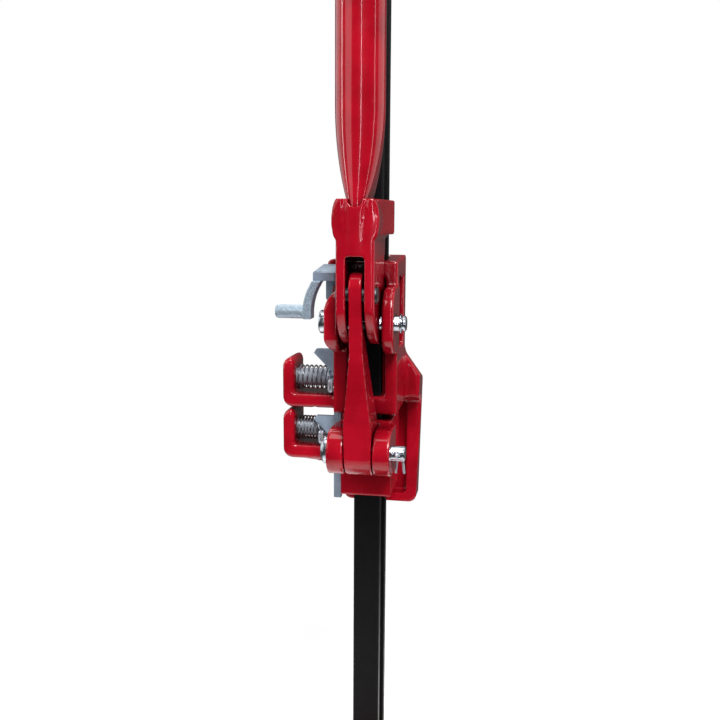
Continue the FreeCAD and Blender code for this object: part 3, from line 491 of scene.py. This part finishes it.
def round_lower_edges(thing, width):
    """Rounds the lowest edges that run back along the sides of a casting."""
    form = bmesh.new()
    form.from_mesh(thing.data)
    floor = min(point.co.z for point in form.verts)
    near = 0.05 * MM
    lowest = []
    for edge in form.edges:
        start, end = (point.co for point in edge.verts)
        runs_back = abs(end.y - start.y) > abs(end.x - start.x)
        if runs_back and max(start.z, end.z) < floor + near:
            lowest.append(edge)
    bmesh.ops.bevel(form, geom=lowest, offset=width, segments=5, profile=0.5, affect="EDGES")
    form.to_mesh(thing.data)
    form.free()


def casting(node, grain, keep, rounding=0.0, kind="enamel"):
    """A softened copy of a cast node, of which a share of the faces is kept."""
    thing = node_copy(node, node + "_casting")
    if rounding:
        round_lower_edges(thing, rounding)
    soften(thing, grain, keep)
    dress(thing, finish_of(kind))
    stand_for(thing, node)
    return thing


def machined(node, kind, width, segments=2):
    """A copy of a rolled, turned or moulded node with eased edges."""
    thing = node_copy(node, node + "_finished")
    ease_edges(thing, width, segments)
    dress(thing, finish_of(kind))
    stand_for(thing, node)


class NodeGroup:
    """A geometry node tree with named inputs, run once on an object of its own."""

    def __init__(self, name):
        self.tree = bpy.data.node_groups.new(name, "GeometryNodeTree")
        self.tree.interface.new_socket("Geometry", in_out="OUTPUT", socket_type="NodeSocketGeometry")
        self.inlet = self.tree.nodes.new("NodeGroupInput")
        self.outlet = self.tree.nodes.new("NodeGroupOutput")
        self.values = {}

    def size(self, name, value, kind="NodeSocketFloat"):
        socket = self.tree.interface.new_socket(name, in_out="INPUT", socket_type=kind)
        self.values[socket.identifier] = value
        return self.inlet.outputs[name]

    def node(self, kind, links=None, **settings):
        made = self.tree.nodes.new(kind)
        for name, value in settings.items():
            setattr(made, name, value)
        for name, source in (links or {}).items():
            if isinstance(source, bpy.types.NodeSocket):
                self.tree.links.new(source, made.inputs[name])
            else:
                made.inputs[name].default_value = source
        return made

    def finish(self, geometry, material, name):
        """Realizes the tree's result as a plain mesh object."""
        whole = self.node("GeometryNodeRealizeInstances", {"Geometry": geometry})
        painted = self.node("GeometryNodeSetMaterial", {"Geometry": whole.outputs[0]})
        painted.inputs["Material"].default_value = material
        self.tree.links.new(painted.outputs[0], self.outlet.inputs[0])
        thing = new_object(name, bpy.data.meshes.new(name))
        modifier = thing.modifiers.new("shape", "NODES")
        modifier.node_group = self.tree
        for identifier, value in self.values.items():
            modifier[identifier] = value
        settle(thing)
        dress(thing, material)
        thing.data.shade_smooth()
        return thing


class JACK_OT_rack_bar(bpy.types.Operator):
    """Rolled bar with eased edges and the raised rims of its punched holes"""

    bl_idname = "jack.rack_bar"
    bl_label = "Rack bar"

    def execute(self, context):
        size = sizes()
        machined("rack_bar", "bar", size.rolled_edge, 3)
        group = NodeGroup("punched_rims")
        radius = group.size("Hole radius", size.hole_radius)
        burr = group.size("Rim radius", size.burr)
        count = group.size("Holes", size.hole_count, "NodeSocketInt")
        pitch = group.size("Pitch", (0, 0, size.hole_pitch), "NodeSocketVector")
        side = group.size("Half web", (size.web / 2, 0, size.hole_first), "NodeSocketVector")
        other = group.size("Other half web", (-size.web / 2, 0, size.hole_first), "NodeSocketVector")
        ring = group.node("GeometryNodeCurvePrimitiveCircle", {"Radius": radius, "Resolution": 40})
        wire = group.node("GeometryNodeCurvePrimitiveCircle", {"Radius": burr, "Resolution": 8})
        rim = group.node("GeometryNodeCurveToMesh", {
            "Curve": ring.outputs[0], "Profile Curve": wire.outputs[0]})
        rows = group.node("GeometryNodeJoinGeometry")
        for start in (side, other):
            row = group.node("GeometryNodeMeshLine", {
                "Count": count, "Start Location": start, "Offset": pitch})
            rims = group.node("GeometryNodeInstanceOnPoints", {
                "Points": row.outputs[0], "Instance": rim.outputs[0]})
            rims.inputs["Rotation"].default_value = ACROSS
            group.tree.links.new(rims.outputs[0], rows.inputs[0])
        rims = group.finish(rows.outputs[0], finish_of("bar"), "punched_rims")
        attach(rims, BODY_OF["rack_bar"])
        return {"FINISHED"}


class JACK_OT_foot_and_clamp(bpy.types.Operator):
    """Cast foot and top clamp"""

    bl_idname = "jack.foot_and_clamp"
    bl_label = "Foot and top clamp"

    def execute(self, context):
        for node in ("base_plate", "top_clamp"):
            casting(node, sizes().grain, keep=0.4)
        return {"FINISHED"}


class JACK_OT_runners(bpy.types.Operator):
    """The two cast runners of the carriage"""

    bl_idname = "jack.runners"
    bl_label = "Runners"

    def execute(self, context):
        casting("large_runner", sizes().grain, keep=0.5, rounding=sizes().nose_round)
        casting("small_runner", sizes().fine_grain, keep=0.5)
        return {"FINISHED"}


def press_cheeks(socket):
    """Two soft folds down the socket's front, where its cheeks close round the pinched tube."""
    low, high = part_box("handle_socket")
    size = sizes()
    front = low.y + 5 * size.cheek_depth
    closing = 0.25
    swelling = 0.6
    for point in socket.data.vertices:
        fallen = (high.z - point.co.z) / size.cheek_height
        if point.co.y > front or fallen > 1:
            continue
        aside = abs(point.co.x) - size.flat_width / 2 * (1 - closing * fallen)
        fold = math.exp(-(aside / size.cheek_fold) ** 2) * (1 - fallen ** 2)
        beside = (aside - 3 * size.cheek_fold) / (2 * size.cheek_fold)
        swell = math.exp(-beside ** 2) * (1 - fallen)
        point.co.y += size.cheek_depth * (fold - swelling * swell)
    socket.data.update()


class JACK_OT_socket_and_link(bpy.types.Operator):
    """Cast handle socket and the link that drives the small runner"""

    bl_idname = "jack.socket_and_link"
    bl_label = "Socket and link"

    def execute(self, context):
        press_cheeks(casting("handle_socket", sizes().fine_grain, keep=0.6))
        casting("pitman", sizes().fine_grain, keep=0.5)
        return {"FINISHED"}


def oval_ring(form, width, depth, centre_y, height, count=72):
    """A ring of points: straight sides along Y joined by half rounds."""
    radius = width / 2
    reach = max(depth - width, 0) / 2
    ring = []
    for i in range(count):
        turn = 2 * math.pi * (i + 0.5) / count
        shift = reach if math.sin(turn) > 0 else -reach
        spot = (radius * math.cos(turn), centre_y + shift + radius * math.sin(turn), height)
        ring.append(form.verts.new(spot))
    return ring


def skin(form, rings):
    """Closed faces between following rings, with a cap on the first and the last."""
    for low, high in zip(rings, rings[1:]):
        for i in range(len(low)):
            after = (i + 1) % len(low)
            form.faces.new((low[i], low[after], high[after], high[i]))
    form.faces.new(list(reversed(rings[0])))
    form.faces.new(rings[-1])


class JACK_OT_handle(bpy.types.Operator):
    """Tube that flares from its pinched end to the round, and the plug in its open end"""

    bl_idname = "jack.handle"
    bl_label = "Handle"

    def execute(self, context):
        size = sizes()
        low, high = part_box("handle_tube")
        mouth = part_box("handle_socket")[1].z
        tube = high.x - low.x
        middle_y = (low.y + high.y) / 2
        flared = mouth + size.flare
        flare_rings, straight_rings = 44, 24
        flare_power = 2.1
        form = bmesh.new()
        rings = [oval_ring(form, size.flat_width, size.flat_depth, middle_y, z) for z in (low.z, mouth)]
        for i in range(1, flare_rings + 1):
            rise = i / flare_rings
            grown = 1 - (1 - rise) ** flare_power
            width = size.flat_width + (tube - size.flat_width) * grown
            depth = size.flat_depth + (tube - size.flat_depth) * grown
            rings.append(oval_ring(form, width, depth, middle_y, mouth + size.flare * rise))
        for i in range(1, straight_rings + 1):
            height = flared + (high.z - flared) * i / straight_rings
            rings.append(oval_ring(form, tube, tube, middle_y, height))
        bore = tube - 2 * size.tube_wall
        below_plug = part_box("handle_plug")[0].z - 2 * MM
        for height in (high.z, below_plug):
            rings.append(oval_ring(form, bore, bore, middle_y, height))
        skin(form, rings)
        bmesh.ops.recalc_face_normals(form, faces=form.faces)
        mesh = bpy.data.meshes.new("handle_tube_finished")
        form.to_mesh(mesh)
        form.free()
        thing = new_object("handle_tube_finished", mesh)
        mesh.shade_smooth()
        creased_from = math.radians(50)
        mesh.set_sharp_from_angle(angle=creased_from)
        dress(thing, finish_of("enamel"))
        stand_for(thing, "handle_tube")
        machined("handle_plug", "plug", size.plug_edge, 3)
        return {"FINISHED"}


class JACK_OT_pins(bpy.types.Operator):
    """Turned pins, washers, bolts, the retaining ring and the socket's screw"""

    bl_idname = "jack.pins"
    bl_label = "Pins and fasteners"

    def execute(self, context):
        edge = sizes().turned_edge
        # the pin inside the fork gets a dark finish as painted shade
        machined("pitman_pin", "shaded_pin", edge)
        for node in ("upper_climbing_pin", "lower_climbing_pin"):
            machined(node, "pale", edge)
        for node in ("base_pin", "pivot_pin", "pivot_pin_ring", "cross_pin", "upper_spring_washer",
                     "lower_spring_washer", "top_clamp_bolt", "top_clamp_nut", "socket_screw"):
            machined(node, "zinc", edge)
        machined("lever_rivet", "spangle", edge)
        return {"FINISHED"}


def bent_wire(name, points):
    """A round wire along a smooth line through the given bends."""
    curve = bpy.data.curves.new(name, "CURVE")
    curve.dimensions = "3D"
    curve.bevel_depth = sizes().cotter_wire
    curve.bevel_resolution = 4
    curve.use_fill_caps = True
    line = curve.splines.new("NURBS")
    line.points.add(len(points) - 1)
    for spot, place in zip(line.points, points):
        spot.co = (*place, 1)
    line.use_endpoint_u = True
    line.order_u = 3
    line.resolution_u = 6
    drawn = bpy.data.objects.new(name, curve)
    mesh = bpy.data.meshes.new_from_object(drawn)
    bpy.data.objects.remove(drawn)
    bpy.data.curves.remove(curve)
    mesh.name = name
    mesh.shade_smooth()
    return new_object(name, mesh)


def both_strands(half):
    """Mirrors one strand of a split pin to the other side, so that one wire runs there and back."""
    return half + [Vector((-place.x, place.y, place.z)) for place in reversed(half)]


def eyed_pin(low, high):
    """Bends of a split pin with its eye in front and two legs spread downwards behind."""
    wire = sizes().cotter_wire
    ring = sizes().cotter_eye
    eye, level, back = low.y + ring, high.z - ring, high.y - 2 * wire
    round_eye = ring - wire
    return both_strands([
        Vector((-3.4 * wire, back, low.z + wire)), Vector((-1.9 * wire, back, level - 4 * wire)),
        Vector((-1.1 * wire, back, level - wire)), Vector((-wire, back - wire, level)),
        Vector((-wire, eye + ring, level)), Vector((-wire, eye + round_eye, level + wire / 2)),
        Vector((-wire / 2, eye + wire, level + round_eye)),
        Vector((-wire / 3, eye - round_eye, level + round_eye)), Vector((0, eye - round_eye, level)),
    ])


def hooked_pin(low, high):
    """Bends of a split pin whose eye is turned down in front of a climbing pin."""
    wire = sizes().cotter_wire
    level, face = high.z - 2 * wire, low.y + wire
    return both_strands([
        Vector((-1.7 * wire, high.y, level + wire / 3)), Vector((-wire, high.y - 3 * wire, level)),
        Vector((-wire, face + 2 * wire, level)), Vector((-wire, face, level)),
        Vector((-wire, face, level - 2 * wire)), Vector((-1.3 * wire, face, low.z + 2.5 * wire)),
        Vector((-wire, face, low.z + wire)),
    ])


class JACK_OT_split_pins(bpy.types.Operator):
    """Split pins bent from wire, through the cross pins and the climbing pins"""

    bl_idname = "jack.split_pins"
    bl_label = "Split pins"

    def execute(self, context):
        bends = {"base_pin_cotter": eyed_pin, "cross_pin_cotter": eyed_pin,
                 "upper_pin_cotter": hooked_pin, "lower_pin_cotter": hooked_pin}
        for node, bend in bends.items():
            low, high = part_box(node)
            middle = Vector(((low.x + high.x) / 2, 0, 0))
            thing = bent_wire(node + "_wire", [place + middle for place in bend(low, high)])
            dress(thing, finish_of("pale"))
            stand_for(thing, node)
        return {"FINISHED"}


class JACK_OT_springs(bpy.types.Operator):
    """Coil springs that stretch between a hook's finger and a climbing pin's washer"""

    bl_idname = "jack.springs"
    bl_label = "Springs"

    def execute(self, context):
        size = sizes()
        for name in ("upper", "lower"):
            node = name + "_climbing_spring"
            low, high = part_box(node)
            axis_y, axis_z = (low.y + high.y) / 2, (low.z + high.z) / 2
            coil = (high.z - low.z) / 2 - size.spring_wire
            group = NodeGroup(name + "_coil")
            turns = group.size("Turns", size.spring_turns)
            radius = group.size("Coil radius", coil)
            wire = group.size("Wire radius", size.spring_wire)
            length = group.size("Length", high.x - low.x - 2 * size.spring_wire)
            start = group.size("Start", (low.x + size.spring_wire, axis_y, axis_z), "NodeSocketVector")
            path = group.node("GeometryNodeCurveSpiral", {
                "Resolution": 40, "Rotations": turns, "Start Radius": radius, "End Radius": radius,
                "Height": length})
            round_wire = group.node("GeometryNodeCurvePrimitiveCircle", {"Radius": wire, "Resolution": 12})
            tube = group.node("GeometryNodeCurveToMesh", {
                "Curve": path.outputs[0], "Profile Curve": round_wire.outputs[0], "Fill Caps": True})
            laid = group.node("GeometryNodeTransform", {"Geometry": tube.outputs[0], "Translation": start})
            laid.inputs["Rotation"].default_value = ACROSS
            thing = group.finish(laid.outputs[0], finish_of("spring"), node + "_coil")
            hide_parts(node)
            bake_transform(thing)
        return {"FINISHED"}


class JACK_OT_reverser(bpy.types.Operator):
    """Reversing bar and its galvanised lever"""

    bl_idname = "jack.reverser"
    bl_label = "Reverser"

    def execute(self, context):
        machined("reversing_bar", "strip", sizes().strip_edge)
        casting("reversing_lever", sizes().lever_grain, keep=0.6, kind="spangle")
        return {"FINISHED"}


def area_light(name, place, aim, width, height, power, colour=(1, 1, 1)):
    lamp = bpy.data.lights.new(name, "AREA")
    lamp.shape = "RECTANGLE"
    lamp.size = width
    lamp.size_y = height
    lamp.energy = power
    lamp.color = colour
    thing = new_object(name, lamp)
    thing.location = place
    thing.rotation_euler = (Vector(aim) - Vector(place)).to_track_quat("-Z", "Y").to_euler()


def studio_world():
    """A white surround to look at, and a dim one, lightest behind the jack, to be mirrored in it."""
    world = bpy.data.worlds.new("studio")
    world.use_nodes = True
    tree = world.node_tree
    tree.nodes.clear()
    out = tree.nodes.new("ShaderNodeOutputWorld")
    seen, lit = (tree.nodes.new("ShaderNodeBackground") for _ in range(2))
    for surround in (seen, lit):
        surround.inputs["Color"].default_value = (1, 1, 1, 1)
    way = tree.nodes.new("ShaderNodeTexCoord")
    parts = tree.nodes.new("ShaderNodeSeparateXYZ")
    tree.links.new(way.outputs["Generated"], parts.inputs[0])
    rear = tree.nodes.new("ShaderNodeMapRange")
    glow = {"From Min": -0.2, "From Max": 0.9, "To Min": 0.03, "To Max": 0.08}
    for name, number in glow.items():
        rear.inputs[name].default_value = number
    tree.links.new(parts.outputs["Y"], rear.inputs["Value"])
    tree.links.new(rear.outputs["Result"], lit.inputs["Strength"])
    path = tree.nodes.new("ShaderNodeLightPath")
    mix = tree.nodes.new("ShaderNodeMixShader")
    tree.links.new(path.outputs["Is Camera Ray"], mix.inputs["Fac"])
    tree.links.new(lit.outputs[0], mix.inputs[1])
    tree.links.new(seen.outputs[0], mix.inputs[2])
    tree.links.new(mix.outputs[0], out.inputs["Surface"])
    bpy.context.scene.world = world


def studio_floor():
    """A round sheet of pale paper that fades into the white surround."""
    form = bmesh.new()
    bmesh.ops.create_circle(form, cap_ends=True, segments=96, radius=sizes().floor_reach)
    mesh = bpy.data.meshes.new("studio_floor")
    form.to_mesh(mesh)
    form.free()
    floor = new_object("studio_floor", mesh)
    paper = Finish("studio_paper")
    tone = colours().floor
    reach = sizes().floor_reach
    paper.paint(paper.noise(3, 2), tone, tinted(tone, 1.03))
    away = paper.node("ShaderNodeVectorMath", operation="LENGTH")
    paper.join(paper.place, away.inputs[0])
    faded = paper.spread(away.outputs["Value"], 1, 0, start=0.35 * reach, end=0.97 * reach)
    paper.join(faded, paper.shader.inputs["Alpha"])
    paper.set(Roughness=0.9, Emission_Color=(1, 1, 1, 1), Emission_Strength=0.3)
    dress(floor, paper.material)
    return floor


class JACK_OT_stage(bpy.types.Operator):
    """Pale floor, soft studio lights and the camera"""

    bl_idname = "jack.stage"
    bl_label = "Stage"

    def execute(self, context):
        scene = context.scene
        scene.view_settings.view_transform = "Standard"
        studio_world()
        studio_floor()
        carriage = (0, 0, 0.42)
        area_light("key", (0.5, -1.25, 1.65), carriage, width=0.5, height=0.7, power=27)
        area_light("left_fill", (-1.1, -1.1, 1.1), carriage, width=0.9, height=1.2, power=5)
        area_light("front_strip", (0.34, -1.5, 0.75), carriage, width=0.04, height=1.1, power=2.4,
                   colour=(0.95, 0.90, 1.0))
        area_light("left_strip", (-1.3, -0.25, 0.75), carriage, width=0.10, height=1.2, power=3.5)
        area_light("right_strip", (1.25, -0.35, 0.75), carriage, width=0.06, height=1.2, power=1.2)
        area_light("right_wall", (1.7, 0.9, 0.9), carriage, width=1.6, height=1.8, power=8)
        area_light("left_wall", (-1.8, 0.8, 0.9), carriage, width=1.6, height=1.8, power=8)
        area_light("top", (0.0, -0.1, 2.4), (0, 0, 0.5), width=1.2, height=1.2, power=12)
        area_light("back", (-0.7, 1.4, 2.1), carriage, width=1.4, height=1.2, power=13)
        # the camera as fitted to the photograph, whose frame is 720 pixels wide
        eye = Vector((100.4, -599.1, 469.9)) * MM
        target = Vector((-5.6, -16, 376)) * MM
        focal_pixels, frame_pixels = 850, 720
        roll = math.radians(0.3)
        camera = bpy.data.cameras.new("photo_camera")
        camera.sensor_width = 36
        camera.lens = camera.sensor_width * focal_pixels / frame_pixels
        camera.clip_start = 10 * MM
        thing = new_object("photo_camera", camera)
        thing.location = eye
        turn = (target - eye).to_track_quat("-Z", "Y").to_matrix()
        thing.rotation_euler = (turn @ Matrix.Rotation(roll, 3, "Z")).to_euler()
        scene.camera = thing
        return {"FINISHED"}


PIECE_OPERATORS = [
    JACK_OT_rack_bar, JACK_OT_foot_and_clamp, JACK_OT_runners, JACK_OT_socket_and_link, JACK_OT_handle,
    JACK_OT_pins, JACK_OT_split_pins, JACK_OT_springs, JACK_OT_reverser, JACK_OT_stage,
]


class JACK_PT_panel(bpy.types.Panel):
    """Lists the jack's pieces"""

    bl_label = "High-lift jack"
    bl_idname = "JACK_PT_panel"
    bl_space_type = "VIEW_3D"
    bl_region_type = "UI"
    bl_category = "Jack"

    def draw(self, context):
        column = self.layout.column()
        for operator in PIECE_OPERATORS:
            column.operator(operator.bl_idname)
        for group in (context.scene.jack_sizes, context.scene.jack_colours):
            for name in group.bl_rna.properties.keys():
                if name not in ("rna_type", "name"):
                    column.prop(group, name)


CLASSES = [JackSizes, JackColours, *PIECE_OPERATORS, JACK_PT_panel]


def register():
    for kind in CLASSES:
        bpy.utils.register_class(kind)
    bpy.types.Scene.jack_sizes = bpy.props.PointerProperty(type=JackSizes)
    bpy.types.Scene.jack_colours = bpy.props.PointerProperty(type=JackColours)


def unregister():
    del bpy.types.Scene.jack_colours
    del bpy.types.Scene.jack_sizes
    for kind in reversed(CLASSES):
        bpy.utils.unregister_class(kind)


def main():
    register()
    bpy.ops.jack.rack_bar()
    bpy.ops.jack.foot_and_clamp()
    bpy.ops.jack.runners()
    bpy.ops.jack.socket_and_link()
    bpy.ops.jack.handle()
    bpy.ops.jack.pins()
    bpy.ops.jack.split_pins()
    bpy.ops.jack.springs()
    bpy.ops.jack.reverser()
    bpy.ops.jack.stage()


if __name__ == "__main__":
    main()
